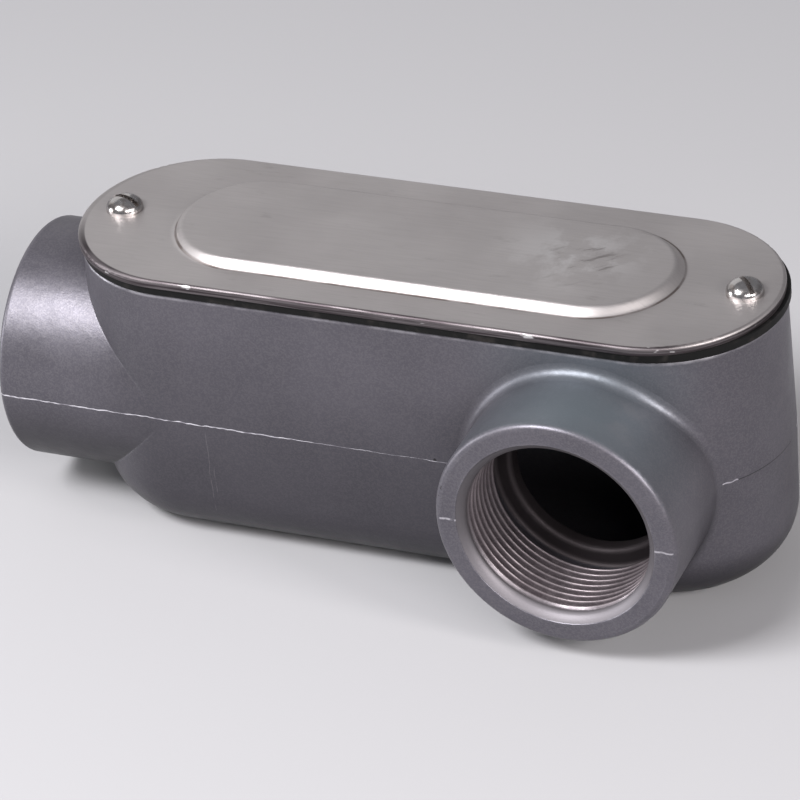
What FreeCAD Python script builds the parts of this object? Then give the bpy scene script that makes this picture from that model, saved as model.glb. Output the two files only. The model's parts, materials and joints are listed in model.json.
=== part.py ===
import FreeCAD, Part

import math
import os

# Threaded conduit body of the L kind with a side outlet, which is on the left when the
# cover faces you and the end hub points up. Millimetres. +Z points out through the cover,
# -X along the end hub, -Y along the side hub. The origin is the centre of the flat back.

V = FreeCAD.Vector
ORIGIN = V(0, 0, 0)
X_AXIS, Y_AXIS, Z_AXIS = V(1, 0, 0), V(0, 1, 0), V(0, 0, 1)
FULL_TURN, HALF_TURN, QUARTER_TURN = 360, 180, 90
CUT_OVERRUN = 1.0           # how far a cutting tool reaches past the face that it opens
SAME_PLACE = 0.01           # two points closer than this are one point

# --- Bore of each hub, 1 1/2 inch pipe thread: depths are from the hub's mouth ---------------
thread_radius = 24.13       # major radius of the thread
mouth_countersink = 0.15
thread_end = 20.4
relief_step = 0.6           # the thread runs out into a groove this much larger
relief_length = 4.2
bushing_length = 5.0        # integral bushing, which saves the wire from the thread
bushing_face_slope = 0.8    # its face leans back towards the groove
bushing_round = 1.3
throat_radius = 19.9
groove_fillet = 1.2

# --- Hubs: outside ----------------------------------------------------------------------
hub_wall = 5.27             # from the thread's major radius to the outside
hub_edge_radius = 1.6
hub_root_fillet = 3.0
end_hub_mouth = 103.6       # middle of the body to the mouth of the end hub
side_hub_mouth = 51.4       # middle of the body to the mouth of the side hub
side_hub_inset = 39.6       # plain end of the body to the axis of the side hub
hub_boss_wall = 3.0         # metal round the side hub's bushing, inside the chamber

# --- Body of the casting: outside ------------------------------------------------------------
hub_above_back = 5.6        # back of the body to the nearest side of the hubs
seat_above_hub = 5.6        # hubs to the gasket seat
body_past_hub = 0.1         # half width at the parting plane, more than the hubs' radius
seat_taper = 0.7            # half width lost to draft from the parting plane to the seat
back_taper = 0.6            # half width lost to draft from the parting plane to the back
end_arc_centre = 58.5       # middle of the body to the centre of each half-round end
back_corner_radius = 15.0
seat_edge_radius = 0.8

# --- Wire chamber -------------------------------------------------------------------------
seat_wall = 3.2             # width of the rim round the cover opening
floor_thickness = 3.8
core_draft = 1.0            # degrees, so that the core lifts out through the opening
chamber_corner_radius = 11.0
screw_inset = 8.7           # end of the gasket seat to each cover screw
boss_radius = 5.6           # round the cover screw at the plain end
boss_depth = 13.0
boss_cone = 3.0             # height of the cone under that boss

# --- Gasket -------------------------------------------------------------------------------
gasket_thickness = 2.0
gasket_overhang = 0.4       # past the gasket seat, all round
gasket_shift = 0.4          # it has crept towards the plain end
gasket_hole_clearance = 0.55
gasket_side_land = 4.6      # edge of the seat to the gasket's opening
gasket_end_land = 7.6       # centre of each screw to the gasket's opening
gasket_opening_corner = 13.0

# --- Cover --------------------------------------------------------------------------------
cover_thickness = 2.0
cover_overhang = 0.8        # past the gasket seat, at the sides
cover_end_overhang = 0.3    # the same at the ends
cover_shift = -0.5          # it sits towards the end hub, within its screw holes
cover_hole_clearance = 0.65
cover_edge_radius = 0.9
panel_side_margin = 9.3     # edge of the cover to the foot of the raised panel
panel_end_margin = 24.1
panel_height = 2.0
panel_slope_width = 2.0
panel_bend_radius = 1.0

# --- Cover screws: number 10 round head, 24 threads to the inch --------------------------------
shank_radius = 2.35
screw_length = 11.1
screw_point = 0.5
screw_running_clearance = 0.06
screw_tip_clearance = 0.7
head_radius = 4.5
head_height = 3.5
head_lip = 0.4
slot_width = 1.2
slot_depth = 1.9
left_slot_angle = -12.0
right_slot_angle = -45.0

# --- Sizes and places that follow --------------------------------------------------------------
groove_radius = thread_radius + relief_step
bushing_face = thread_end + relief_length
bushing_end = bushing_face + bushing_length
hub_radius = thread_radius + hub_wall
hub_axis_height = hub_above_back + hub_radius
body_height = hub_axis_height + hub_radius + seat_above_hub
parting_half_width = hub_radius + body_past_hub
seat_half_width = parting_half_width - seat_taper
back_half_width = parting_half_width - back_taper
side_hub_offset = end_arc_centre + parting_half_width - side_hub_inset
screw_offset = end_arc_centre + seat_half_width - screw_inset
gasket_top = body_height + gasket_thickness
cover_top = gasket_top + cover_thickness
cover_half_width = seat_half_width + cover_overhang
cover_end_arc_centre = end_arc_centre + cover_end_overhang - cover_overhang
panel_half_width = cover_half_width - panel_side_margin
panel_end_arc_centre = cover_end_arc_centre + panel_side_margin - panel_end_margin
screw_hole_depth = screw_length - cover_thickness - gasket_thickness + screw_tip_clearance


def corner(before, point, after):
    """Points where one corner of a profile starts, bends and ends, or just the sharp point."""
    tip = V(point[0], 0, point[1])
    if len(point) < 3:
        return [tip]
    radius = point[2]
    to_before = V(before[0] - point[0], 0, before[1] - point[1]).normalize()
    to_after = V(after[0] - point[0], 0, after[1] - point[1]).normalize()
    half_angle = to_before.getAngle(to_after) / 2
    reach = radius / math.tan(half_angle)
    to_middle = (to_before + to_after).normalize() * (radius / math.sin(half_angle) - radius)
    return [tip + to_before * reach, tip + to_middle, tip + to_after * reach]


def profile(points):
    """Closed face in the XZ plane from (x, z) or (x, z, corner radius) points."""
    after = points[1:] + points[:1]
    corners = [corner(points[i - 1], point, after[i]) for i, point in enumerate(points)]
    edges = []
    for here, following in zip(corners, corners[1:] + corners[:1]):
        if len(here) > 1:
            edges.append(Part.Arc(*here).toShape())
        edges.append(Part.makeLine(here[-1], following[0]))
    return Part.Face(Part.Wire(edges))


def turned(points):
    """Solid turned about Z from a profile's points."""
    return profile(points).revolve(ORIGIN, Z_AXIS, FULL_TURN)


def obround(points, arc_centre):
    """Solid with half-round ends: a half section run along X and turned at both ends.

    The points start on the middle plane at the bottom and end on it at the top.
    """
    half = profile(points)
    section = half.fuse(half.mirror(ORIGIN, X_AXIS)).removeSplitter()
    section.rotate(ORIGIN, Z_AXIS, QUARTER_TURN)
    section.translate(V(-arc_centre, 0, 0))
    solid = section.extrude(V(2 * arc_centre, 0, 0))
    for side in (-1, 1):
        end = half.copy()
        end.rotate(ORIGIN, Z_AXIS, -QUARTER_TURN * side)
        end = end.revolve(ORIGIN, Z_AXIS, HALF_TURN)
        end.translate(V(side * arc_centre, 0, 0))
        solid = solid.fuse(end)
    return solid.removeSplitter()


def at_mouth(solid, mouth, inwards):
    """Put a solid that was turned about Z, with its mouth at z = 0, onto a hub's axis."""
    solid.Placement = FreeCAD.Placement(mouth, FreeCAD.Rotation(Z_AXIS, inwards))
    return solid


def end_hub():
    """Mouth centre of the end hub, the direction inwards and the length into the body."""
    return V(-end_hub_mouth, 0, hub_axis_height), X_AXIS, end_hub_mouth - end_arc_centre


def side_hub():
    """Mouth centre of the side hub, the direction inwards and the length into the body."""
    return V(side_hub_offset, -side_hub_mouth, hub_axis_height), Y_AXIS, side_hub_mouth


def body_outside():
    """Body with draft both ways from the parting plane and a rounded back."""
    return obround([
        (0, 0),
        (back_half_width, 0, back_corner_radius),
        (parting_half_width, hub_axis_height),
        (seat_half_width, body_height, seat_edge_radius),
        (0, body_height),
    ], end_arc_centre)


def hub_outside(hub):
    """Outside of one hub, with its rounded mouth edge."""
    mouth, inwards, length = hub
    blank = turned([
        (0, 0),
        (hub_radius, 0, hub_edge_radius),
        (hub_radius, length),
        (0, length),
    ])
    return at_mouth(blank, mouth, inwards)


def hub_bore(hub):
    """Countersink, thread wall, run-out groove and bushing throat of one hub."""
    mouth, inwards, length = hub
    mouth_radius = thread_radius + mouth_countersink
    exit_radius = throat_radius + bushing_round + CUT_OVERRUN
    exit_end = bushing_end + CUT_OVERRUN
    tool = turned([
        (0, -CUT_OVERRUN),
        (mouth_radius, -CUT_OVERRUN),
        (mouth_radius, 0),
        (thread_radius, mouth_countersink),
        (thread_radius, thread_end),
        (groove_radius, thread_end + relief_step),
        (groove_radius, bushing_face + bushing_face_slope, groove_fillet),
        (throat_radius, bushing_face, bushing_round),
        (throat_radius, bushing_end, bushing_round),
        (exit_radius, bushing_end),
        (exit_radius, exit_end),
        (throat_radius, exit_end),
        (throat_radius, length),
        (0, length),
    ])
    return at_mouth(tool, mouth, inwards)


def chamber():
    """Wire chamber: drafted, rounded at the floor, with a flat wall at the end hub."""
    at_seat = seat_half_width - seat_wall
    depth = body_height - floor_thickness
    at_floor = at_seat - depth * math.tan(math.radians(core_draft))
    space = obround([
        (0, floor_thickness),
        (at_floor, floor_thickness, chamber_corner_radius),
        (at_seat, body_height),
        (0, body_height),
    ], end_arc_centre)
    end_wall = bushing_end - end_hub_mouth
    length = end_arc_centre + at_seat - end_wall
    keep = Part.makeBox(length, 2 * at_seat, body_height, V(end_wall, -at_seat, 0))
    return space.common(keep)


def screw_boss():
    """Boss for the cover screw at the plain end, joined to the chamber's end wall."""
    foot = body_height - boss_depth
    reach = end_arc_centre + seat_half_width - screw_offset
    post = Part.makeCylinder(boss_radius, boss_depth, V(screw_offset, 0, foot))
    cone = Part.makeCone(0, boss_radius, boss_cone, V(screw_offset, 0, foot - boss_cone))
    web = Part.makeBox(reach, 2 * boss_radius, boss_depth, V(screw_offset, -boss_radius, foot))
    return post.fuse([cone, web])


def bushing_boss():
    """Metal round the side hub's bushing, which stands a little inside the chamber."""
    mouth, inwards, length = side_hub()
    return Part.makeCylinder(groove_radius + hub_boss_wall, bushing_end, mouth, inwards)


def screw_holes(radius, depth, top):
    """A hole straight down from a height at each cover screw."""
    foot = top - depth
    return [Part.makeCylinder(radius, depth, V(side * screw_offset, 0, foot)) for side in (-1, 1)]


def round_hub_root(solid):
    """Fillet where the side hub grows out of the body."""
    mouth, inwards, length = side_hub()
    mouth_end = hub_edge_radius + SAME_PLACE
    edges = []
    for edge in solid.Edges:
        offsets = [p - mouth for p in edge.discretize(Number=5)]
        depths = [offset.dot(inwards) for offset in offsets]
        radii = [offset.cross(inwards).Length for offset in offsets]
        on_hub = all(abs(radius - hub_radius) < SAME_PLACE for radius in radii)
        if on_hub and min(depths) > mouth_end:
            edges.append(edge)
    return solid.makeFillet(hub_root_fillet, edges)


def make_housing():
    """The one-piece die casting."""
    solid = body_outside().fuse(hub_outside(side_hub())).removeSplitter()
    solid = round_hub_root(solid)
    solid = solid.fuse(hub_outside(end_hub()))
    tapped = screw_holes(shank_radius + screw_running_clearance, screw_hole_depth, body_height)
    space = chamber().cut([screw_boss(), bushing_boss()])
    return solid.cut([space, hub_bore(end_hub()), hub_bore(side_hub())] + tapped).removeSplitter()


def make_gasket():
    """Flat rubber ring between the casting and the cover."""
    half_width = seat_half_width + gasket_overhang
    ring = obround([
        (0, body_height),
        (half_width, body_height),
        (half_width, gasket_top),
        (0, gasket_top),
    ], end_arc_centre)
    length = 2 * (screw_offset - gasket_end_land)
    width = 2 * (seat_half_width - gasket_side_land)
    opening = Part.makeBox(length, width, gasket_thickness, V(-length / 2, -width / 2, body_height))
    upright = [edge for edge in opening.Edges if edge.tangentAt(0).isParallel(Z_AXIS, SAME_PLACE)]
    ring = ring.cut(opening.makeFillet(gasket_opening_corner, upright))
    ring.translate(V(gasket_shift, 0, 0))
    return ring.cut(screw_holes(shank_radius + gasket_hole_clearance, gasket_thickness, gasket_top))


def raised_panel(foot, base):
    """Solid under one face of the stamped panel, with bends between flat and slope."""
    return obround([
        (0, base - cover_thickness / 2),
        (foot + panel_slope_width, base - cover_thickness / 2),
        (foot + panel_slope_width, base),
        (foot, base, panel_bend_radius),
        (foot - panel_slope_width, base + panel_height, panel_bend_radius),
        (0, base + panel_height),
    ], panel_end_arc_centre)


def make_cover():
    """Stamped sheet cover with a raised panel and two clearance holes."""
    sheet = obround([
        (0, gasket_top),
        (cover_half_width, gasket_top),
        (cover_half_width, cover_top, cover_edge_radius),
        (0, cover_top),
    ], cover_end_arc_centre)
    slope = math.atan2(panel_height, panel_slope_width)
    inset = cover_thickness * math.tan(slope / 2)
    sheet = sheet.fuse(raised_panel(panel_half_width, cover_top))
    sheet = sheet.cut(raised_panel(panel_half_width - inset, gasket_top))
    holes = screw_holes(shank_radius + cover_hole_clearance, cover_thickness, cover_top)
    sheet = sheet.cut(holes).removeSplitter()
    sheet.translate(V(cover_shift, 0, 0))
    return sheet


def head_dome():
    """Quarter ellipse from the screw head's lip up to its crown."""
    lip, shoulder, crown = V(head_radius, 0, head_lip), V(head_radius, 0, head_height), V(0, 0, head_height)
    curve = Part.BezierCurve()
    curve.setPoles([lip, shoulder, crown])
    curve.setWeight(2, math.sqrt(0.5))
    return curve.toShape()


def make_screw(side, slot_angle):
    """Slotted round head machine screw, seated on the cover."""
    outline = [
        V(0, 0, head_height),
        V(0, 0, -screw_length),
        V(shank_radius - screw_point, 0, -screw_length),
        V(shank_radius, 0, screw_point - screw_length),
        V(shank_radius, 0, 0),
        V(head_radius, 0, 0),
        V(head_radius, 0, head_lip),
    ]
    edges = [Part.makeLine(a, b) for a, b in zip(outline, outline[1:])]
    screw = Part.Face(Part.Wire(edges + [head_dome()])).revolve(ORIGIN, Z_AXIS, FULL_TURN)
    slot_corner = V(-head_radius, -slot_width / 2, head_height - slot_depth)
    slot = Part.makeBox(2 * head_radius, slot_width, slot_depth, slot_corner)
    slot.rotate(ORIGIN, Z_AXIS, slot_angle)
    screw = screw.cut(slot)
    screw.translate(V(side * screw_offset, 0, cover_top))
    return screw


parts = {
    "housing": make_housing(),
    "gasket": make_gasket(),
    "cover": make_cover(),
    "left_cover_screw": make_screw(-1, left_slot_angle),
    "right_cover_screw": make_screw(1, right_slot_angle),
}

os.makedirs("parts", exist_ok=True)
for name, shape in parts.items():
    shape.exportStep("parts/" + name + ".step")
    print(name, "valid", shape.isValid(), "solids", len(shape.Solids), "volume", round(shape.Volume, 1))
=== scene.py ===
"""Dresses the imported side-outlet conduit body: pipe threads, parting flash, finishes and studio.

Lengths are in metres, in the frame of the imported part: +Z out through the cover, -X along the
end hub and -Y along the side hub, with the origin in the middle of the flat back.
"""

import json
import logging
import math
from dataclasses import dataclass
from enum import Enum
from typing import Any, Iterator, Optional, Sequence

import bmesh
import bpy
from mathutils import Matrix, Vector, noise

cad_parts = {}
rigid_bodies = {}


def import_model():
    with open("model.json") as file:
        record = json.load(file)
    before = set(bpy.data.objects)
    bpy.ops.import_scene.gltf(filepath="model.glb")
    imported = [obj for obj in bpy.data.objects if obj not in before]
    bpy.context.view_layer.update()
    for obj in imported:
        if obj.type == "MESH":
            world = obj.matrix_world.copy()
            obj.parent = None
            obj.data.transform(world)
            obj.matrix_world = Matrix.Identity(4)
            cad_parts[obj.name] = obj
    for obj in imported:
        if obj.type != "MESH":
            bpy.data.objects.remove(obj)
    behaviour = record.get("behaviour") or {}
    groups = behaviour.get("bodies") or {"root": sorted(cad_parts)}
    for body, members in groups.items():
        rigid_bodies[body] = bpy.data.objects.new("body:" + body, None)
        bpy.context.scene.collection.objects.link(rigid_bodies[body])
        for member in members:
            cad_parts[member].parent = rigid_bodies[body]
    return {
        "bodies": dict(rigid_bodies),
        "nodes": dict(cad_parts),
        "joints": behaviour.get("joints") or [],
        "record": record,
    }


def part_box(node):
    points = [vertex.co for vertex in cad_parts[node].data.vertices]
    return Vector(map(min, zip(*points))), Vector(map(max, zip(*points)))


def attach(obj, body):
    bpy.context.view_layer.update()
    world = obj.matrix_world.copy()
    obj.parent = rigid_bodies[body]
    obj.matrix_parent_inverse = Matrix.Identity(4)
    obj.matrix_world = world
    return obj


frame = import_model()

MM = 0.001
INCH = 25.4 * MM
LOG = logging.getLogger("conduit_body")
X_AXIS = Vector((1, 0, 0))
Y_AXIS = Vector((0, 1, 0))
Z_AXIS = Vector((0, 0, 1))

Colour = tuple[float, float, float]
Point = tuple[float, float, float]
Socket = bpy.types.NodeSocket
Frame = dict[str, Any]


class Body(Enum):
    """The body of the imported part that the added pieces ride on."""

    CASTING = "casting"


class Slot(Enum):
    """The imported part's material slots."""

    CASTING = "painted_casting"
    GASKET = "gasket_rubber"
    COVER = "cover_sheet"
    SCREW = "screw_plating"


@dataclass(frozen=True)
class Ramp:
    """A range of numbers, and the two numbers that its start and its stop are mapped onto."""

    start: float
    stop: float
    first: float = 0.0
    last: float = 1.0


@dataclass(frozen=True)
class Patches:
    """Uneven patches: soft noise with so many features in a metre, and what it is mapped onto."""

    share: Ramp
    per_metre: float | Point
    detail: float = 2.0
    rough: float = 0.5
    turn: float = 0.0


@dataclass(frozen=True)
class Relief:
    """Fine unevenness of a surface: soft noise with so many features in a metre, and its depth."""

    per_metre: float
    depth: float
    detail: float = 2.0
    rough: float = 0.5


@dataclass(frozen=True)
class Spot:
    """A soft round patch: its middle, its radius and what the offset along each axis counts for."""

    middle: Point
    radius: float
    squash: Point = (1.0, 1.0, 1.0)


class Graph:
    """The nodes of one material, added and joined with short calls."""

    def __init__(self, name: str) -> None:
        """Start a material with one glossy shader.

        Args:
            name: The material's name.
        """
        self.material = bpy.data.materials.new(name)
        self.material.use_nodes = True
        self.tree = self.material.node_tree
        self.shader = self.tree.nodes["Principled BSDF"]
        self.place: Socket = self.tree.nodes.new("ShaderNodeTexCoord").outputs["Object"]

    def feed(self, socket: Socket, value: Any) -> None:
        """Join a socket to another socket, or give it a plain value.

        Args:
            socket: The input to fill.
            value: An output socket, a number or a colour.
        """
        if isinstance(value, bpy.types.NodeSocket):
            self.tree.links.new(value, socket)
        elif socket.type == "RGBA" and len(value) == 3:
            socket.default_value = (*value, 1.0)
        else:
            socket.default_value = value

    def add(self, kind: str, inputs: dict[Any, Any], **settings: Any) -> bpy.types.Node:
        """Add one node.

        Args:
            kind: Blender's name for the node type.
            inputs: Values or sockets by input name or number.
            settings: The node's own settings.

        Returns:
            The new node.
        """
        node = self.tree.nodes.new(kind)
        for name, value in settings.items():
            setattr(node, name, value)
        for key, value in inputs.items():
            self.feed(node.inputs[key], value)
        return node

    def shade(self, **values: Any) -> None:
        """Fill the shader's inputs, where an underscore in a name stands for a space."""
        for name, value in values.items():
            self.feed(self.shader.inputs[name.replace("_", " ")], value)

    def math(self, operation: str, first: Any, second: Any = 0.0) -> Socket:
        """Work out one number from two."""
        return self.add("ShaderNodeMath", {0: first, 1: second}, operation=operation).outputs[0]

    def times(self, *factors: Any) -> Socket:
        """Multiply numbers.

        Args:
            factors: The numbers, as sockets or plain values.

        Returns:
            Their product.
        """
        product = factors[0]
        for factor in factors[1:]:
            product = self.math("MULTIPLY", product, factor)
        return product

    def vector(self, operation: str, first: Any, second: Any = (0.0, 0.0, 0.0)) -> bpy.types.Node:
        """Work on two vectors, or on the first one alone."""
        return self.add("ShaderNodeVectorMath", {0: first, 1: second}, operation=operation)

    def stretched(self, scale: Sequence[float], turn: float) -> Socket:
        """The place in the frame, turned about Z and then scaled by its own amount along each axis.

        Args:
            scale: One factor for each axis.
            turn: Angle about Z in radians.

        Returns:
            The place as a vector.
        """
        place = self.place
        if turn:
            inputs = {"Vector": place, "Angle": turn}
            place = self.add("ShaderNodeVectorRotate", inputs, rotation_type="Z_AXIS").outputs[0]
        inputs = {"Vector": place, "Scale": tuple(scale)}
        return self.add("ShaderNodeMapping", inputs).outputs[0]

    def grain(
        self, per_metre: float | Point, detail: float = 2.0, rough: float = 0.5, turn: float = 0.0
    ) -> Socket:
        """Soft noise from 0 to 1.

        Args:
            per_metre: Features in a metre, or one number for each axis.
            detail: Octaves of finer noise.
            rough: Share of the finer octaves.
            turn: Angle about Z in radians by which the noise's long way is turned.

        Returns:
            The noise as a number.
        """
        scale = per_metre if isinstance(per_metre, tuple) else (per_metre,) * 3
        place = self.stretched(scale, turn)
        inputs = {"Vector": place, "Scale": 1.0, "Detail": detail, "Roughness": rough}
        return self.add("ShaderNodeTexNoise", inputs).outputs["Fac"]

    def cells(self, per_metre: float) -> Socket:
        """A random grey for each small cell, as in metallic paint.

        Args:
            per_metre: Cells in a metre.

        Returns:
            The grey as a number from 0 to 1.
        """
        inputs = {"Vector": self.place, "Scale": per_metre}
        colour = self.add("ShaderNodeTexVoronoi", inputs).outputs["Color"]
        return self.add("ShaderNodeSeparateColor", {0: colour}).outputs[0]

    def span(self, value: Any, ramp: Ramp) -> Socket:
        """Map a number from one range onto another, held within it and eased at both ends."""
        inputs = {"Value": value, 1: ramp.start, 2: ramp.stop, 3: ramp.first, 4: ramp.last}
        return self.add("ShaderNodeMapRange", inputs, interpolation_type="SMOOTHSTEP").outputs[0]

    def patches(self, kind: Patches) -> Socket:
        """How strong a kind of uneven patches is."""
        level = self.grain(kind.per_metre, kind.detail, kind.rough, kind.turn)
        return self.span(level, kind.share)

    def line(self, value: Any, middle: float, fade: Ramp) -> Socket:
        """A soft line where a number is near the middle one, faded by how far off it is."""
        return self.span(self.math("ABSOLUTE", self.math("SUBTRACT", value, middle)), fade)

    def mix(self, share: Any, first: Any, second: Any) -> Socket:
        """Mix two colours, with the share of the second one."""
        inputs = {"Factor": share, 6: first, 7: second}
        return self.add("ShaderNodeMix", inputs, data_type="RGBA").outputs[2]

    def axes(self, vector: Optional[Socket] = None) -> tuple[Socket, Socket, Socket]:
        """The three numbers of a vector, or of the place in the frame."""
        split = self.add("ShaderNodeSeparateXYZ", {0: vector or self.place})
        return split.outputs[0], split.outputs[1], split.outputs[2]

    def offset(self, point: Sequence[float]) -> Socket:
        """The way from a point to the surface, as a vector."""
        return self.vector("SUBTRACT", self.place, tuple(point)).outputs[0]

    def reach(self, centre: Sequence[float], squash: Sequence[float]) -> Socket:
        """Distance from a point, or from a line where the squash along an axis is 0."""
        scaled = self.vector("MULTIPLY", self.offset(centre), tuple(squash)).outputs[0]
        return self.vector("LENGTH", scaled).outputs["Value"]

    def near(self, spot: Spot, origin: Sequence[float] = (0.0, 0.0, 0.0)) -> Socket:
        """A soft patch that is 1 at a spot's middle, counted from an origin, and 0 from its radius."""
        middle = Vector(origin) + Vector(spot.middle)
        return self.span(self.reach(middle, spot.squash), Ramp(0.0, spot.radius, 1.0, 0.0))

    def normal(self) -> Socket:
        """The plain surface normal."""
        return self.add("ShaderNodeNewGeometry", {}).outputs["Normal"]

    def softened(self, radius: float) -> Socket:
        """The surface normal with the edges rounded over a radius."""
        return self.add("ShaderNodeBevel", {"Radius": radius}, samples=4).outputs[0]

    def facing_up(self) -> Socket:
        """How far the surface faces the cover's side: 1 upwards, 0 sideways and -1 downwards."""
        return self.axes(self.normal())[2]

    def open_sky(self, distance: float) -> Socket:
        """How open the surface is, from 0 deep in a corner of the same piece to 1 in the open."""
        node = self.add("ShaderNodeAmbientOcclusion", {"Distance": distance}, samples=4, only_local=True)
        return node.outputs["AO"]

    def edges(self, radius: float, gain: float) -> Socket:
        """How close the surface is to a sharp edge.

        Args:
            radius: How far from the edge it still counts.
            gain: How fast it rises.

        Returns:
            A number from 0 on plain faces to 1 at edges.
        """
        alike = self.vector("DOT_PRODUCT", self.softened(radius), self.normal()).outputs["Value"]
        bent = self.times(self.math("SUBTRACT", 1.0, alike), gain)
        return self.math("MINIMUM", bent, 1.0)

    def bump(self, height: Socket, depth: float, under: Optional[Socket] = None) -> Socket:
        """Turn a height from 0 to 1 into a bent surface normal.

        Args:
            height: The height.
            depth: How deep a height of 1 is.
            under: The normal of a coarser bump below this one.

        Returns:
            The bent normal.
        """
        inputs = {"Height": height, "Distance": depth, "Strength": 1.0}
        if under is not None:
            inputs["Normal"] = under
        return self.add("ShaderNodeBump", inputs).outputs[0]

    def relief(self, kind: Relief, under: Optional[Socket] = None) -> Socket:
        """The surface normal bent by a fine unevenness, over a coarser one where that is given."""
        level = self.grain(kind.per_metre, kind.detail, kind.rough)
        return self.bump(level, kind.depth, under)


@dataclass(frozen=True)
class EnamelFinish:
    """Grey enamel with a fine metallic grain over a die-cast skin.

    The blue spot, a painted bluish reflection, and the smudge are counted from the crown of the side
    hub's mouth.
    """

    dark: Colour = (0.083, 0.079, 0.094)
    light: Colour = (0.099, 0.094, 0.111)
    # Painted shade: the colour that darkens the paint low down, underneath and in corners.
    painted_shade: Colour = (0.020, 0.019, 0.023)
    # Painted shade inside the hubs' bores.
    bore_shade: Colour = (0.046, 0.038, 0.041)
    # Partly worn paint and partly a painted highlight on rounded edges and along the gasket seat.
    worn_and_highlight: Colour = (0.46, 0.45, 0.48)
    # Painted bluish reflection on the side hub's crown.
    blue_reflection: Colour = (0.140, 0.168, 0.188)
    pale: Colour = (0.20, 0.19, 0.20)
    chipped: Colour = (0.018, 0.017, 0.018)
    mark: Colour = (0.38, 0.37, 0.40)
    metallic: float = 0.6
    blotches: Patches = Patches(Ramp(0.3, 0.7), 38.0, 4.0)
    flake_per_metre: float = 2900.0
    flake_share: Ramp = Ramp(0.15, 1.0, 0.0, 0.22)
    flake_relief: Relief = Relief(flake_per_metre, 0.026 * MM, 2.0, 0.6)
    peel: Relief = Relief(420.0, 0.05 * MM, 1.0)
    roughness: Patches = Patches(Ramp(0.3, 0.7, 0.385, 0.45), 120.0, 3.0)

    mouth_face_depth: float = 0.3 * MM
    bore_radius: float = 24.6 * MM
    bore_start: float = 0.16 * MM
    bore_end: float = 31 * MM
    bore_roughness: float = 0.58

    # Where the painted shade falls: low down, underneath and less at the ends.
    shade_by_height: Ramp = Ramp(0.0, 80 * MM, 0.62, 0.0)
    shade_to_right: Ramp = Ramp(20 * MM, 75 * MM, 1.0, 0.25)
    shade_from_left: Ramp = Ramp(-88 * MM, -62 * MM, 0.1, 1.0)
    shade_underneath: Ramp = Ramp(-0.75, 0.20, 0.90, 0.0)
    shade_inboard: Ramp = Ramp(-40 * MM, -31 * MM)
    corner_reach: float = 9 * MM
    corner_shade: Ramp = Ramp(0.45, 0.95, 0.40, 0.0)

    blue_reflection_spot: Spot = Spot((4 * MM, 9 * MM, 0.0), 36 * MM, (0.85, 1.2, 1.0))
    blue_reflection_behind_mouth: Ramp = Ramp(0.3 * MM, 1.6 * MM, 0.0, 0.85)
    smudge_spot: Spot = Spot((13 * MM, 12 * MM, -5 * MM), 13 * MM)
    smudge_patches: Patches = Patches(Ramp(0.42, 0.7, 0.0, 0.35), 160.0, 4.0)

    edge_radius: float = 0.9 * MM
    edge_gain: float = 6.0
    edge_in_open: Ramp = Ramp(0.86, 0.97)
    edge_off_axis: Ramp = Ramp(24.6 * MM, 25.4 * MM, 0.3, 1.0)
    edge_patches: Patches = Patches(Ramp(0.36, 0.62, 0.14, 0.76), 240.0, 4.0)
    nicks: Patches = Patches(Ramp(0.70, 0.74), 520.0)

    mark_raise: float = 0.35 * MM
    mark_waver: float = 0.7 * MM
    mark_waver_per_metre: float = 420.0
    mark_line: Ramp = Ramp(0.136 * MM, 0.34 * MM, 1.0, 0.0)
    mark_patches: Patches = Patches(Ramp(0.3, 0.5), 700.0)
    crease_line: Ramp = Ramp(0.06 * MM, 0.20 * MM, 0.8, 0.0)
    crease_start: Ramp = Ramp(80 * MM, 81 * MM)

    # Where the painted highlight lies along the outside edge of the gasket seat.
    seat_highlight_below: float = 1.3 * MM
    seat_highlight_full_below: float = 0.75 * MM
    seat_patches: Patches = Patches(Ramp(0.36, 0.66, 0.04, 0.42), 150.0, 5.0, 0.6)

    chip_squash: Point = (1.3, 0.6, 1.0)
    chip_gain: float = 3.0
    chip_patches: Patches = Patches(Ramp(0.40, 0.55), 1500.0)
    chips: tuple[Spot, ...] = (
        Spot((10.4 * MM, -29.6 * MM, 35.3 * MM), 0.7 * MM, chip_squash),
        Spot((21.4 * MM, -50.6 * MM, 43.4 * MM), 0.8 * MM, chip_squash),
        Spot((20.6 * MM, -50.6 * MM, 41.2 * MM), 0.55 * MM, chip_squash),
    )

    scratch_places: tuple[tuple[float, float, float], ...] = (
        (-48.4 * MM, 9 * MM, 34 * MM),
        (-47.2 * MM, 14 * MM, 24 * MM),
    )
    scratch_front: float = -25 * MM
    scratch_waver: float = 1.0 * MM
    scratch_waver_per_metre: Point = (40.0, 40.0, 120.0)
    scratch_line: Ramp = Ramp(0.04 * MM, 0.16 * MM, 0.28, 0.0)
    scratch_taper: float = 2 * MM
    scratch_patches: Patches = Patches(Ramp(0.38, 0.55), 330.0)

    def mouth_faces(self, graph: Graph, hubs: Sequence["Hub"]) -> Socket:
        """A number that is 1 on the flat faces round the hubs' mouths."""
        shares = [graph.math("LESS_THAN", hub.depth(graph), self.mouth_face_depth) for hub in hubs]
        return graph.math("MAXIMUM", *shares)

    def bores(self, graph: Graph, hubs: Sequence["Hub"]) -> Socket:
        """Where the paint is dull and darkened with painted shade in the run-out grooves and on the
        bushings.

        Args:
            graph: The material's nodes.
            hubs: The two hubs.

        Returns:
            A number that is 1 inside the hubs.
        """
        shares = []
        for hub in hubs:
            depth = hub.depth(graph)
            inside = graph.math("LESS_THAN", hub.off_axis(graph), self.bore_radius)
            deep = graph.math("GREATER_THAN", depth, self.bore_start)
            short = graph.math("LESS_THAN", depth, self.bore_end)
            shares.append(graph.times(inside, deep, short))
        return graph.math("MAXIMUM", *shares)

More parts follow.
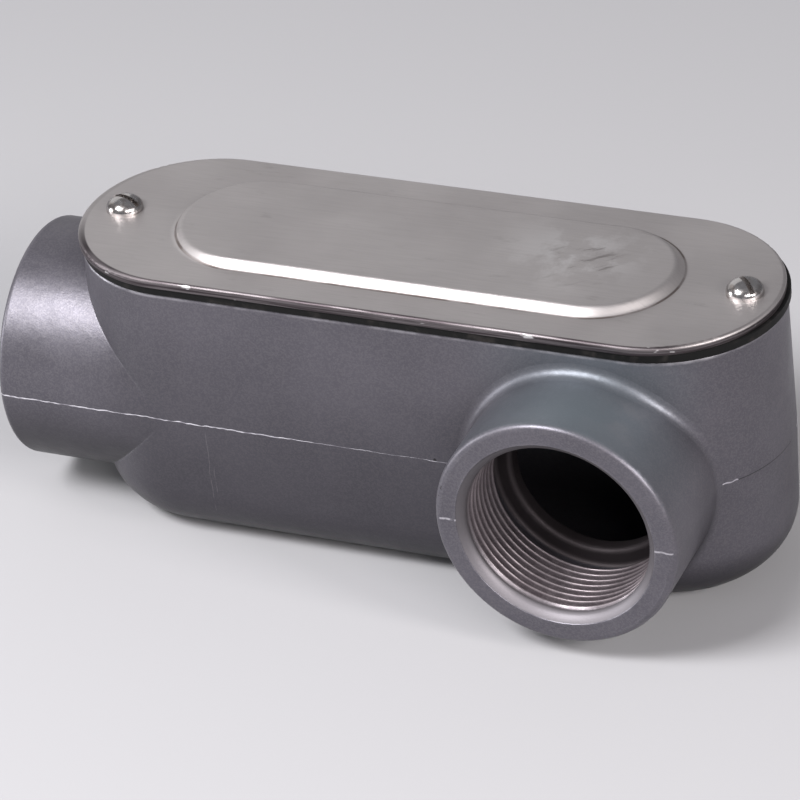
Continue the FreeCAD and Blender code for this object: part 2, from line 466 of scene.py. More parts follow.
    def rim_marks(self, graph: Graph, hubs: Sequence["Hub"]) -> Socket:
        """Where the parting flash was trimmed off flush on the hubs' mouth faces.

        Args:
            graph: The material's nodes.
            hubs: The two hubs, whose mouths carry the marks.

        Returns:
            A number that is 1 on the marks.
        """
        waver = graph.times(graph.grain(self.mark_waver_per_metre), self.mark_waver)
        height = graph.math("ADD", graph.axes()[2], waver)
        on_line = graph.line(height, hubs[0].mouth.z + self.mark_raise, self.mark_line)
        return graph.times(on_line, self.mouth_faces(graph, hubs), graph.patches(self.mark_patches))

    def low_painted_shade(self, graph: Graph) -> Socket:
        """Where painted shade darkens the paint: low down and on faces that look downwards.

        Args:
            graph: The material's nodes.

        Returns:
            A number that is 1 where the painted shade is darkest.
        """
        x, y, z = graph.axes()
        low = graph.times(
            graph.span(z, self.shade_by_height),
            graph.span(x, self.shade_to_right),
            graph.span(x, self.shade_from_left),
        )
        under = graph.span(graph.facing_up(), self.shade_underneath)
        return graph.times(graph.math("MAXIMUM", low, under), graph.span(y, self.shade_inboard))

    def crease(self, graph: Graph, height: float) -> Socket:
        """The dark line where the parting fin was broken away, on the plain end's front.

        Args:
            graph: The material's nodes.
            height: Height of the parting plane.

        Returns:
            How dark the line is, and 0 beside it.
        """
        x, y, z = graph.axes()
        front = graph.math("LESS_THAN", y, 0.0)
        return graph.times(graph.line(z, height, self.crease_line), graph.span(x, self.crease_start), front)

    def seat_painted_highlight(self, graph: Graph) -> Socket:
        """A painted highlight along the outside edge of the gasket seat, where its rounding catches the
        light.

        Args:
            graph: The material's nodes.

        Returns:
            How strong the painted highlight is.
        """
        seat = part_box("housing")[1].z
        band = graph.span(graph.axes()[2], Ramp(seat - self.seat_highlight_below, seat - self.seat_highlight_full_below))
        return graph.times(band, graph.patches(self.seat_patches))

    def scratches(self, graph: Graph) -> Socket:
        """A pair of faint upright scratches low on the front of the body.

        Args:
            graph: The material's nodes.

        Returns:
            How strong the scratches are, and 0 beside them.
        """
        x, y, z = graph.axes()
        waver = graph.times(graph.grain(self.scratch_waver_per_metre), self.scratch_waver)
        wavy_x = graph.math("ADD", x, waver)
        found: Any = 0.0
        for middle, low, high in self.scratch_places:
            line = graph.line(wavy_x, middle, self.scratch_line)
            from_low = graph.span(z, Ramp(low, low + self.scratch_taper))
            to_high = graph.span(z, Ramp(high - self.scratch_taper, high, 1.0, 0.0))
            found = graph.math("MAXIMUM", found, graph.times(line, from_low, to_high))
        front = graph.math("LESS_THAN", y, self.scratch_front)
        return graph.times(found, front, graph.patches(self.scratch_patches))

    def crown_painted_reflection(self, graph: Graph, side: "Hub", colour: Socket) -> Socket:
        """Tint the side hub's crown with a painted bluish reflection, and smudge it.

        Args:
            graph: The material's nodes.
            side: The side hub.
            colour: The colour of the paint.

        Returns:
            The colour with the painted reflection.
        """
        crown = side.mouth + Z_AXIS * side.outer_radius
        behind = graph.span(side.depth(graph), self.blue_reflection_behind_mouth)
        colour = graph.mix(graph.times(graph.near(self.blue_reflection_spot, crown), behind), colour, self.blue_reflection)
        smudge = graph.times(graph.near(self.smudge_spot, crown), graph.patches(self.smudge_patches))
        return graph.mix(smudge, colour, self.pale)

    def edge_wear_and_painted_light(self, graph: Graph, side: "Hub", openness: Socket, colour: Socket) -> Socket:
        """Lighten the edges that stand in the open, partly as rubbed-off paint and partly as a painted
        highlight on their rounding, with a few dark nicks.

        Args:
            graph: The material's nodes.
            side: The side hub, whose mouth's inner edge is lightened less.
            openness: How open the surface is.
            colour: The colour of the paint.

        Returns:
            The colour with the worn and highlighted edges.
        """
        edge = graph.times(
            graph.edges(self.edge_radius, self.edge_gain),
            graph.span(openness, self.edge_in_open),
            graph.span(side.off_axis(graph), self.edge_off_axis),
        )
        colour = graph.mix(graph.times(edge, graph.patches(self.edge_patches)), colour, self.worn_and_highlight)
        return graph.mix(graph.times(edge, graph.patches(self.nicks)), colour, self.chipped)

    def chip_marks(self, graph: Graph, colour: Socket) -> Socket:
        """Knock small dark chips out of the paint on the mouth's edge and the body's front.

        Args:
            graph: The material's nodes.
            colour: The colour of the paint.

        Returns:
            The colour with the chips.
        """
        ragged = graph.patches(self.chip_patches)
        for spot in self.chips:
            chip = graph.math("MINIMUM", graph.times(graph.near(spot), self.chip_gain), 1.0)
            colour = graph.mix(graph.times(chip, ragged), colour, self.chipped)
        return colour

    def colour(self, graph: Graph, hubs: Sequence["Hub"]) -> Socket:
        """The paint's colour with its blotches, flakes, thin coat, tint, worn edges and marks.

        Args:
            graph: The material's nodes.
            hubs: The two hubs, for the marks that lie on them.

        Returns:
            The colour.
        """
        side = hubs[1]
        colour = graph.mix(graph.patches(self.blotches), self.dark, self.light)
        flakes = graph.span(graph.cells(self.flake_per_metre), self.flake_share)
        colour = graph.mix(flakes, colour, self.pale)
        # Painted shade low down and on faces that look downwards.
        colour = graph.mix(self.low_painted_shade(graph), colour, self.painted_shade)
        # Painted bluish reflection on the side hub's crown.
        colour = self.crown_painted_reflection(graph, side, colour)
        openness = graph.open_sky(self.corner_reach)
        # Painted shade in corners, darkest where the surface is least open.
        colour = graph.mix(graph.span(openness, self.corner_shade), colour, self.painted_shade)
        # Painted shade in the bores.
        colour = graph.mix(self.bores(graph, hubs), colour, self.bore_shade)
        colour = graph.mix(self.crease(graph, side.mouth.z), colour, self.chipped)
        # Worn edges, partly a painted highlight on their rounding.
        colour = self.edge_wear_and_painted_light(graph, side, openness, colour)
        # Painted highlight along the outside edge of the gasket seat.
        colour = graph.mix(self.seat_painted_highlight(graph), colour, self.worn_and_highlight)
        colour = graph.mix(self.scratches(graph), colour, self.pale)
        colour = graph.mix(self.rim_marks(graph, hubs), colour, self.mark)
        return self.chip_marks(graph, colour)

    def material(self, hubs: Sequence["Hub"]) -> bpy.types.Material:
        """Build the finish.

        Args:
            hubs: The two hubs, for the marks that lie on them.

        Returns:
            The material.
        """
        graph = Graph("painted_casting_finish")
        flaked = graph.relief(self.flake_relief, graph.relief(self.peel))
        in_bores = graph.times(self.bores(graph, hubs), self.bore_roughness)
        roughness = graph.math("MAXIMUM", graph.patches(self.roughness), in_bores)
        colour = self.colour(graph, hubs)
        graph.shade(Base_Color=colour, Metallic=self.metallic, Roughness=roughness, Normal=flaked)
        return graph.material


@dataclass(frozen=True)
class TappedFinish:
    """Bare cast metal where the tap cut through the enamel, with painted shade in the thread roots
    and a painted highlight on the crests.

    The entry keeps its enamel, which is darkened with painted shade on the upper half of the mouth.
    """

    # The root colour is painted shade in the thread roots; the crest colour is bare metal with a painted
    # highlight.
    root: Colour = (0.016, 0.012, 0.014)
    flank: Colour = (0.078, 0.064, 0.071)
    crest_metal_and_highlight: Colour = (0.220, 0.190, 0.200)
    entry: Colour = (0.182, 0.171, 0.184)
    # Painted shade on the upper half of the entry.
    entry_shade_above: Colour = (0.100, 0.093, 0.101)
    metallic: float = 0.6
    ridge_attribute: str = "ridge"
    entry_attribute: str = "entry"
    flank_share: Ramp = Ramp(0.0, 0.60)
    crest_share: Ramp = Ramp(0.7, 1.0)
    crest_patches: Patches = Patches(Ramp(0.35, 0.65, 0.55, 1.0), 210.0, 3.0)
    flake_per_metre: float = 3000.0
    flake_share: Ramp = Ramp(0.4, 1.0, 0.0, 0.16)
    entry_by_height: Ramp = Ramp(16 * MM, 34 * MM)
    entry_share: Ramp = Ramp(0.0, 1.0)
    entry_roughness: float = 0.56
    roughness: Patches = Patches(Ramp(0.3, 0.7, 0.32, 0.46), 380.0)
    skin: Relief = Relief(1500.0, 0.03 * MM)

    def material(self) -> bpy.types.Material:
        """Build the finish, which reads how high each point stands and if it is on the entry.

        Returns:
            The material.
        """
        graph = Graph("tapped_thread_finish")
        ridge = graph.add("ShaderNodeAttribute", {}, attribute_name=self.ridge_attribute).outputs["Fac"]
        entry = graph.add("ShaderNodeAttribute", {}, attribute_name=self.entry_attribute).outputs["Fac"]
        # Painted shade in the thread roots and a painted highlight on the crests, by ridge height.
        colour = graph.mix(graph.span(ridge, self.flank_share), self.root, self.flank)
        crests = graph.times(graph.span(ridge, self.crest_share), graph.patches(self.crest_patches))
        colour = graph.mix(crests, colour, self.crest_metal_and_highlight)
        flakes = graph.span(graph.cells(self.flake_per_metre), self.flake_share)
        colour = graph.mix(flakes, colour, self.crest_metal_and_highlight)
        # Painted shade on the upper half of the entry.
        above = graph.span(graph.axes()[2], self.entry_by_height)
        entry_colour = graph.mix(above, self.entry, self.entry_shade_above)
        colour = graph.mix(graph.span(entry, self.entry_share), colour, entry_colour)
        on_entry = graph.times(entry, self.entry_roughness)
        roughness = graph.math("MAXIMUM", graph.patches(self.roughness), on_entry)
        normal = graph.relief(self.skin)
        graph.shade(Base_Color=colour, Metallic=self.metallic, Roughness=roughness, Normal=normal)
        return graph.material


@dataclass(frozen=True)
class FlashFinish:
    """Pale broken fin of metal where the two halves of the die met."""

    dull: Colour = (0.24, 0.23, 0.26)
    bright: Colour = (0.52, 0.51, 0.55)
    metallic: float = 0.35
    bright_patches: Patches = Patches(Ramp(0.38, 0.6), 330.0, 3.0)
    roughness: Ramp = Ramp(0.0, 1.0, 0.55, 0.36)
    skin: Relief = Relief(2200.0, 0.03 * MM)

    def material(self) -> bpy.types.Material:
        """Build the finish.

        Returns:
            The material.
        """
        graph = Graph("parting_flash_finish")
        patches = graph.patches(self.bright_patches)
        normal = graph.relief(self.skin)
        roughness = graph.span(patches, self.roughness)
        colour = graph.mix(patches, self.dull, self.bright)
        graph.shade(Base_Color=colour, Metallic=self.metallic, Roughness=roughness, Normal=normal)
        return graph.material


@dataclass(frozen=True)
class SatinSheetFinish:
    """Rolled sheet with a fine grain along the cover, rub marks, a dark sheared edge, and painted
    shade on the edge's rounding and round the panel's foot.
    """

    base: Colour = (0.410, 0.388, 0.385)
    light: Colour = (0.462, 0.440, 0.435)
    rubbed: Colour = (0.62, 0.61, 0.61)
    dark: Colour = (0.22, 0.205, 0.20)
    # The sheared edge's own dark colour, also used as painted shade on the edge's rounding.
    sheared_and_shaded: Colour = (0.050, 0.041, 0.045)
    streak: Colour = (0.15, 0.135, 0.14)
    speck: Colour = (0.55, 0.54, 0.54)
    # Painted shade in the crease round the raised panel's foot.
    foot_shade: Colour = (0.11, 0.085, 0.075)
    metallic: float = 0.92
    clouds: Patches = Patches(Ramp(0.3, 0.7), 30.0, 4.0)
    rolled_per_metre: Point = (110.0, 2400.0, 110.0)
    rolled_shade: Ramp = Ramp(0.35, 0.75, 0.0, 0.10)
    rolled_depth: float = 0.003 * MM
    rolled_roughness: float = 0.05
    roughness: Patches = Patches(Ramp(0.3, 0.7, 0.40, 0.48), 55.0, 4.0)

    rub: Spot = Spot((36 * MM, 3 * MM, 76 * MM), 22 * MM, (0.9, 1.0, 0.2))
    smears: Patches = Patches(Ramp(0.45, 0.60, 0.0, 0.6), 110.0, 5.0, 0.6)
    scraped: Spot = Spot((39 * MM, 0.0, 76 * MM), 11 * MM, (0.8, 0.8, 0.2))
    scraped_gain: float = 1.6
    scrape_turn: float = math.radians(-40)
    scrapes: Patches = Patches(Ramp(0.55, 0.66, 0.0, 0.8), (110.0, 420.0, 110.0), 4.0, 0.6, scrape_turn)
    scuffs: Patches = Patches(Ramp(0.60, 0.76, 0.0, 0.28), (90.0, 260.0, 90.0), 5.0, 0.65)

    panel_end_margin: float = 24.1 * MM
    panel_side_margin: float = 9.3 * MM
    foot_outside: float = 0.15 * MM
    foot_line: Ramp = Ramp(0.12 * MM, 0.42 * MM, 1.0, 0.0)
    foot_patches: Patches = Patches(Ramp(0.35, 0.6, 0.35, 0.85), 120.0, 3.0)

    edge_width: float = 0.95 * MM
    edge_rounding: Ramp = Ramp(0.55 * edge_width, edge_width, 1.0, 0.0)
    rounding_to_right: Ramp = Ramp(68 * MM, 76 * MM, 1.0, 0.45)
    rounding_to_back: Ramp = Ramp(-20 * MM, -4 * MM, 1.0, 0.15)
    sheared_upright: Ramp = Ramp(0.10, 0.55, 1.0, 0.0)
    streaks: Patches = Patches(Ramp(0.35, 0.65), (60.0, 60.0, 2400.0), 3.0)
    specks: Patches = Patches(Ramp(0.66, 0.72), (110.0, 420.0, 420.0), 3.0, 0.6)
    bend_radius: float = 1.3 * MM
    bends_inside: Ramp = Ramp(2.0 * MM, 3.0 * MM)

    def inside_of(self, graph: Graph, half_length: float, half_width: float) -> Socket:
        """Distance in from the outline of a long shape with half-round ends.

        Args:
            graph: The material's nodes.
            half_length: Half of the shape's length.
            half_width: Half of its width.

        Returns:
            The distance, which is below 0 outside.
        """
        x, y, _ = graph.axes()
        straight = half_length - half_width
        past = graph.math("MAXIMUM", graph.math("SUBTRACT", graph.math("ABSOLUTE", x), straight), 0.0)
        squares = graph.math("ADD", graph.math("POWER", past, 2.0), graph.times(y, y))
        return graph.math("SUBTRACT", half_width, graph.math("SQRT", squares))

    def panel_foot_shade(self, graph: Graph, corner: Vector) -> Socket:
        """The thin line of painted shade in the crease round the raised panel's foot.

        Args:
            graph: The material's nodes.
            corner: The far corner of the cover's box.

        Returns:
            How strong the painted shade is, and 0 off the line.
        """
        inside = self.inside_of(graph, corner.x - self.panel_end_margin, corner.y - self.panel_side_margin)
        line = graph.line(inside, -self.foot_outside, self.foot_line)
        return graph.times(line, graph.patches(self.foot_patches))

    def edge_wear_and_painted_light(self, graph: Graph, colour: Socket, from_edge: Socket) -> Socket:
        """Darken the sheared edge and, as painted shade, its rounding at the front, with streaks and a
        few bright specks.

        Args:
            graph: The material's nodes.
            colour: The colour of the face.
            from_edge: Distance in from the edge.

        Returns:
            The colour with the edge.
        """
        x, y, _ = graph.axes()
        rounding = graph.times(
            graph.span(from_edge, self.edge_rounding),
            graph.span(x, self.rounding_to_right),
            graph.span(y, self.rounding_to_back),
        )
        upright = graph.span(graph.facing_up(), self.sheared_upright)
        edge = graph.mix(graph.patches(self.streaks), self.sheared_and_shaded, self.streak)
        colour = graph.mix(graph.math("MAXIMUM", rounding, upright), colour, edge)
        return graph.mix(graph.times(graph.patches(self.specks), rounding), colour, self.speck)

    def soft_normal(self, graph: Graph, from_edge: Socket) -> Socket:
        """The surface normal with the stamped panel's bends softened, and the edge left crisp.

        Args:
            graph: The material's nodes.
            from_edge: Distance in from the edge.

        Returns:
            The normal.
        """
        share = graph.span(from_edge, self.bends_inside)
        inputs = {"Factor": share, 4: graph.normal(), 5: graph.softened(self.bend_radius)}
        return graph.add("ShaderNodeMix", inputs, data_type="VECTOR").outputs[1]

    def rub_marks(self, graph: Graph, colour: Socket) -> Socket:
        """Smear, scrape and scuff the panel.

        Args:
            graph: The material's nodes.
            colour: The colour of the sheet.

        Returns:
            The colour with the marks.
        """
        smear = graph.times(graph.near(self.rub), graph.patches(self.smears))
        colour = graph.mix(smear, colour, self.rubbed)
        scraped = graph.math("MINIMUM", graph.times(graph.near(self.scraped), self.scraped_gain), 1.0)
        colour = graph.mix(graph.times(scraped, graph.patches(self.scrapes)), colour, self.dark)
        return graph.mix(graph.patches(self.scuffs), colour, self.dark)

    def material(self) -> bpy.types.Material:
        """Build the finish.

        Returns:
            The material.
        """
        graph = Graph("cover_sheet_finish")
        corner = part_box("cover")[1]
        from_edge = self.inside_of(graph, corner.x, corner.y)
        colour = graph.mix(graph.patches(self.clouds), self.base, self.light)
        lines = graph.grain(self.rolled_per_metre)
        colour = graph.mix(graph.span(lines, self.rolled_shade), colour, self.dark)
        colour = self.rub_marks(graph, colour)
        # Painted shade in the crease round the panel's foot.
        colour = graph.mix(self.panel_foot_shade(graph, corner), colour, self.foot_shade)
        # Dark sheared edge, with painted shade on its rounding.
        colour = self.edge_wear_and_painted_light(graph, colour, from_edge)
        rolled = graph.times(lines, self.rolled_roughness)
        roughness = graph.math("ADD", graph.patches(self.roughness), rolled)
        normal = graph.bump(lines, self.rolled_depth, self.soft_normal(graph, from_edge))
        graph.shade(Base_Color=colour, Metallic=self.metallic, Roughness=roughness, Normal=normal)
        return graph.material


@dataclass(frozen=True)
class PlatedFinish:
    """Bright plating that is dull and darkened with painted shade down in the slot."""

    plating: Colour = (0.56, 0.54, 0.53)
    tarnish: Colour = (0.30, 0.23, 0.19)
    # Painted shade down in the slot.
    slot_shade: Colour = (0.06, 0.05, 0.05)
    stains: Patches = Patches(Ramp(0.48, 0.72, 0.0, 0.5), 520.0, 4.0)
    slot_floor: float = 75.7 * MM
    slot_by_height: Ramp = Ramp(slot_floor - 0.1 * MM, slot_floor + 1.2 * MM, 1.0, 0.0)
    slot_by_facing: Ramp = Ramp(0.15, 0.9, 0.0, 0.6)
    roughness: Patches = Patches(Ramp(0.35, 0.75, 0.17, 0.30), 900.0, 3.0)
    skin: Relief = Relief(1400.0, 0.006 * MM)

    def material(self) -> bpy.types.Material:
        """Build the finish.

        Returns:
            The material.
        """
        graph = Graph("screw_plating_finish")
        colour = graph.mix(graph.patches(self.stains), self.plating, self.tarnish)
        low = graph.span(graph.axes()[2], self.slot_by_height)
        flat = graph.span(graph.facing_up(), self.slot_by_facing)
        # Painted shade down in the slot.
        colour = graph.mix(graph.times(low, flat), colour, self.slot_shade)
        roughness = graph.patches(self.roughness)
        graph.shade(Base_Color=colour, Metallic=1.0, Roughness=roughness, Normal=graph.relief(self.skin))
        return graph.material


@dataclass(frozen=True)
class RubberFinish:
    """Matt black rubber with a dusty cut edge."""

    base: Colour = (0.004, 0.004, 0.004)
    dust: Colour = (0.018, 0.016, 0.015)
    specular: float = 0.15
    dusty: Patches = Patches(Ramp(0.5, 0.75), 260.0, 4.0)
    roughness: Ramp = Ramp(0.0, 1.0, 0.55, 0.8)
    skin: Relief = Relief(1800.0, 0.04 * MM)

    def material(self) -> bpy.types.Material:
        """Build the finish.

        Returns:
            The material.
        """
        graph = Graph("gasket_rubber_finish")
        dusty = graph.patches(self.dusty)
        colour = graph.mix(dusty, self.base, self.dust)
        roughness = graph.span(dusty, self.roughness)
        graph.shade(Base_Color=colour, Roughness=roughness, Normal=graph.relief(self.skin))
        graph.shade(Specular_IOR_Level=self.specular)
        return graph.material


@dataclass(frozen=True)
class FloorFinish:
    """Plain pale matt floor."""

    colour: Colour = (0.35, 0.35, 0.36)
    roughness: float = 0.8

    def material(self) -> bpy.types.Material:
        """Build the finish.

        Returns:
            The material.
        """
        graph = Graph("floor_finish")
        graph.shade(Base_Color=self.colour, Roughness=self.roughness)
        return graph.material


@dataclass(frozen=True)
class Hub:
    """Where a hub's mouth is, which way is inwards and how big the hub is outside."""

    name: str
    mouth: Vector
    inwards: Vector
    outer_radius: float

    def placed(self, around: float, across: float, depth: float) -> Vector:
        """A point in the frame from the hub's own polar place.

        Args:
            around: Angle about the hub's axis.
            across: Distance from the axis.
            depth: Distance inwards from the mouth.

        Returns:
            The point.
        """
        sideways = self.inwards.cross(Z_AXIS)
        spoke = sideways * math.cos(around) + Z_AXIS * math.sin(around)
        return self.mouth + self.inwards * depth + spoke * across

    def depth(self, graph: Graph) -> Socket:
        """How far in from the mouth's plane the surface is, for a finish."""
        away = graph.offset(self.mouth)
        return graph.vector("DOT_PRODUCT", away, tuple(self.inwards)).outputs["Value"]

    def off_axis(self, graph: Graph) -> Socket:
        """How far the surface is from the hub's axis, for a finish."""
        return graph.reach(self.mouth, [1.0 - abs(share) for share in self.inwards])


def new_piece(name: str, points: Sequence[Vector], faces: Sequence[Sequence[int]]) -> bpy.types.Object:
    """Add a smooth-shaded mesh object.

    Args:
        name: The piece's name.
        points: Its vertices.
        faces: Its faces, as vertex numbers.

    Returns:
        The object.
    """
    mesh = bpy.data.meshes.new(name)
    mesh.from_pydata([tuple(point) for point in points], [], [tuple(face) for face in faces])
    mesh.validate()
    mesh.shade_smooth()
    piece = bpy.data.objects.new(name, mesh)
    bpy.context.scene.collection.objects.link(piece)
    return piece


def finish_piece(piece: bpy.types.Object, material: bpy.types.Material) -> None:
    """Give a piece its only material.

    Args:
        piece: The piece or carried-over node.
        material: The finish.
    """
    piece.data.materials.clear()
    piece.data.materials.append(material)


@dataclass
class PipeThread:
    """Right-hand pipe thread cut into the wall of one hub's bore, with its smooth entry.

    The phases are places within one pitch, and the heights say how high the ridge stands there.
    """

    hub: Hub
    turns_per_inch: float = 11.5
    pitch: float = INCH / turns_per_inch
    wall_radius: float = 24.09 * MM
    crest_radius: float = 22.30 * MM
    entry_start: float = 0.16 * MM
    entry_length: float = 2.4 * MM
    entry_curve: float = 2.2
    run_in_start: float = 2.2 * MM
    run_in_end: float = 5.6 * MM
    end_depth: float = 20.35 * MM
    end_lip: float = 0.35 * MM
    end_tuck: float = 0.25 * MM
    steps_around: int = 160
    start_angle: float = 0.9
    weld_distance: float = 0.001 * MM
    entry_shade_and_highlight: float = 0.95
    phases: tuple[float, ...] = (0.0, 0.10, 0.30, 0.38, 0.44, 0.50, 0.56, 0.62, 0.70, 0.90)
    heights: tuple[float, ...] = (0.0, 0.12, 0.66, 0.90, 0.985, 1.0, 0.985, 0.90, 0.66, 0.12)

    def plain_bore(self, depth: float) -> float:
        """Radius that was bored before the thread was cut: a rounded entry, then straight."""
        left = max(1.0 - (depth - self.entry_start) / self.entry_length, 0.0)
        return self.crest_radius + (self.wall_radius - self.crest_radius) * left ** self.entry_curve

    def surface(self, depth: float, height: float) -> tuple[float, float]:
        """Radius of the threaded wall.

        Args:
            depth: Distance inwards from the mouth.
            height: 0 at a thread root and 1 at a crest.

        Returns:
            The radius, and how high the point stands for the finish.
        """
        share = 1.0 - self.painted(depth)
        cut = self.crest_radius + (self.wall_radius - self.crest_radius) * (1.0 - height) * share
        # The ridge height drives the finish's painted shade in the roots and painted highlight on the
        # crests.
        shade_and_highlight = height * share + self.entry_shade_and_highlight * (1.0 - share)
        return max(self.plain_bore(depth), cut), shade_and_highlight

    def painted(self, depth: float) -> float:
        """How much paint is left at a depth: all on the entry and none from the first full turn."""
        share = (self.run_in_end - depth) / (self.run_in_end - self.run_in_start)
        return min(max(share, 0.0), 1.0)

    def rows(self) -> list[tuple[float, float]]:
        """The lines that follow the helix, from a turn before the mouth to a turn past the end.

        Returns:
            The offset along the axis and the ridge height of each line.
        """
        turns = range(-1, int(self.end_depth / self.pitch) + 2)
        profile = list(zip(self.phases, self.heights))
        return [((turn + phase) * self.pitch, height) for turn in turns for phase, height in profile]

    def vertex(self, offset: float, height: float, turned: float) -> tuple[Vector, float, float]:
        """One point of the threaded wall, led back into the casting past the end.

        Args:
            offset: Where its line starts along the axis.
            height: Ridge height of its line.
            turned: Turns made along the line.

        Returns:
            The point, how high it stands for the finish and how much paint it keeps.
        """
        wanted = offset + turned * self.pitch
        depth = min(max(wanted, self.entry_start), self.end_depth)
        radius, shade_and_highlight = self.surface(depth, height)
        over = min(max((wanted - self.end_depth) / self.end_lip, 0.0), 1.0)
        depth += self.end_lip * over
        radius += (self.wall_radius + self.end_tuck - radius) * over
        angle = self.start_angle + turned * math.tau
        return self.hub.placed(angle, radius, depth), shade_and_highlight, self.painted(depth)

    def build(self) -> bpy.types.Object:
        """Build the threaded wall as rows of points that follow the helix.

        Returns:
            The piece.
        """
        rows = self.rows()
        steps = range(self.steps_around + 1)
        vertices = [self.vertex(*row, step / self.steps_around) for row in rows for step in steps]
        places, shade_and_highlight, paint = (list(column) for column in zip(*vertices))
        faces = []
        for row in range(len(rows) - 1):
            for step in range(self.steps_around):
                near = row * len(steps) + step
                far = near + len(steps)
                faces.append((near, near + 1, far + 1, far))
        piece = new_piece(self.hub.name + "_thread", places, faces)
        read_by_finish = {TappedFinish.ridge_attribute: shade_and_highlight, TappedFinish.entry_attribute: paint}
        for attribute, values in read_by_finish.items():
            piece.data.attributes.new(attribute, "FLOAT", "POINT").data.foreach_set("value", values)
        self.weld(piece)
        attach(piece, Body.CASTING.value)
        return piece

    def weld(self, piece: bpy.types.Object) -> None:
        """Join the points that lie on each other, along the helix's seam and at both ends.

        Args:
            piece: The threaded wall.
        """
        grid = bmesh.new()
        grid.from_mesh(piece.data)
        bmesh.ops.remove_doubles(grid, verts=grid.verts[:], dist=self.weld_distance)
        grid.to_mesh(piece.data)
        grid.free()


@dataclass(frozen=True)
class StraightLeg:
    """A straight stretch of the parting line."""

    start: Vector
    end: Vector
    least_steps: int = 2

    def samples(self, spacing: float) -> Iterator[tuple[Vector, Vector]]:
        """Points along the leg with the direction out of the metal at each.

        Args:
            spacing: Distance between points.

        Yields:
            The point and the outward direction.
        """
        along = self.end - self.start
        outwards = along.cross(Z_AXIS).normalized()
        count = max(self.least_steps, int(along.length / spacing))
        for i in range(count + 1):
            yield self.start + along * (i / count), outwards


@dataclass(frozen=True)
class RoundLeg:
    """A round stretch of the parting line, swept from its start about a centre.

    A hollow one has the metal on its outside, as in the fillet at a hub's root.
    """

    start: Vector
    centre: Vector
    sweep: float
    hollow: bool = False
    least_steps: int = 4

    def samples(self, spacing: float) -> Iterator[tuple[Vector, Vector]]:
        """Points along the leg with the direction out of the metal at each.

        Args:
            spacing: Distance between points.

        Yields:
            The point and the outward direction.
        """
        spoke = self.start - self.centre
        count = max(self.least_steps, int(abs(self.sweep) * spoke.length / spacing))
        for i in range(count + 1):
            turned = Matrix.Rotation(self.sweep * i / count, 3, Z_AXIS) @ spoke
            outwards = turned.normalized() * (-1 if self.hollow else 1)
            yield self.centre + turned, outwards


Leg = StraightLeg | RoundLeg


@dataclass(frozen=True)
class Wave:
    """Smooth noise along a line: its features in a metre, its own row of the noise and its size."""

    per_metre: float
    row: float
    size: float


@dataclass
class PartingFlash:
    """Broken fin of metal along one stretch of the casting's parting line.

    The usual, the most and the least are shares of a whole fin, and where less than the least is
    left it has broken off flush. A point within the joined distance of the last one is left out.
    """

    name: str
    legs: Sequence[Leg]
    seed: float
    full_length: float = math.inf
    thinning_length: float = 8 * MM
    thinned: float = 0.55
    half_width: float = 0.25 * MM
    stand_out: float = 0.055 * MM
    sunk: float = 0.05 * MM
    spacing: float = 0.30 * MM
    joined: float = 0.01 * MM
    usual: float = 0.85
    most: float = 1.1
    least: float = 0.12
    narrowest: float = 0.35
    breaks: tuple[Wave, ...] = (Wave(90.0, 0.0, 0.5), Wave(620.0, 7.0, 0.6))
    wander: float = 0.22 * MM
    strays: tuple[Wave, ...] = (Wave(190.0, 3.0, 1.0), Wave(720.0, 5.0, 0.8))

    def uneven(self, distance: float, waves: Sequence[Wave]) -> float:
        """Add up waves at a distance along the line.

        Args:
            distance: Distance along the line.
            waves: The waves.

        Returns:
            Their sum, which is 0 on average.
        """
        total = 0.0
        for wave in waves:
            place = Vector((distance * wave.per_metre, self.seed, wave.row))
            total += wave.size * noise.noise(place)
        return total

    def kept(self, distance: float) -> float:
        """Share of the fin's size that is left past its full length."""
        past = min(max((distance - self.full_length) / self.thinning_length, 0.0), 1.0)
        return 1.0 - (1.0 - self.thinned) * past

    def strength(self, distance: float) -> float:
        """Share of the fin that is left at a distance along the line, from 0 to a little over 1."""
        share = self.usual + self.uneven(distance, self.breaks)
        return min(max(share, 0.0), self.most) * self.kept(distance)

    def shift(self, distance: float) -> Vector:
        """How far the broken fin strays from the parting plane at a distance along the line."""
        return Z_AXIS * (self.wander * self.kept(distance) * self.uneven(distance, self.strays))

    def build(self) -> bpy.types.Object:
        """Build the fin as a low ridge of changing width.

        Returns:
            The piece.
        """
        points: list[Vector] = []
        faces: list[tuple[int, int, int, int]] = []
        distance = 0.0
        last: Optional[Vector] = None
        for leg in self.legs:
            for place, outwards in leg.samples(self.spacing):
                step = (place - last).length if last is not None else 0.0
                if last is not None and step < self.joined:
                    continue
                distance += step
                last = place
                left = self.strength(distance)
                shift = self.shift(distance)
                side = Z_AXIS * (self.half_width * (self.narrowest + (1.0 - self.narrowest) * left))
                foot = outwards * -self.sunk
                tip = outwards * (self.stand_out * left if left > self.least else -self.sunk)
                start = len(points)
                points += [place + shift - side + foot, place + shift + tip, place + shift + side + foot]
                if start:
                    faces.append((start - 3, start, start + 1, start - 2))
                    faces.append((start - 2, start + 1, start + 2, start - 1))
        piece = new_piece(self.name, points, faces)
        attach(piece, Body.CASTING.value)
        return piece


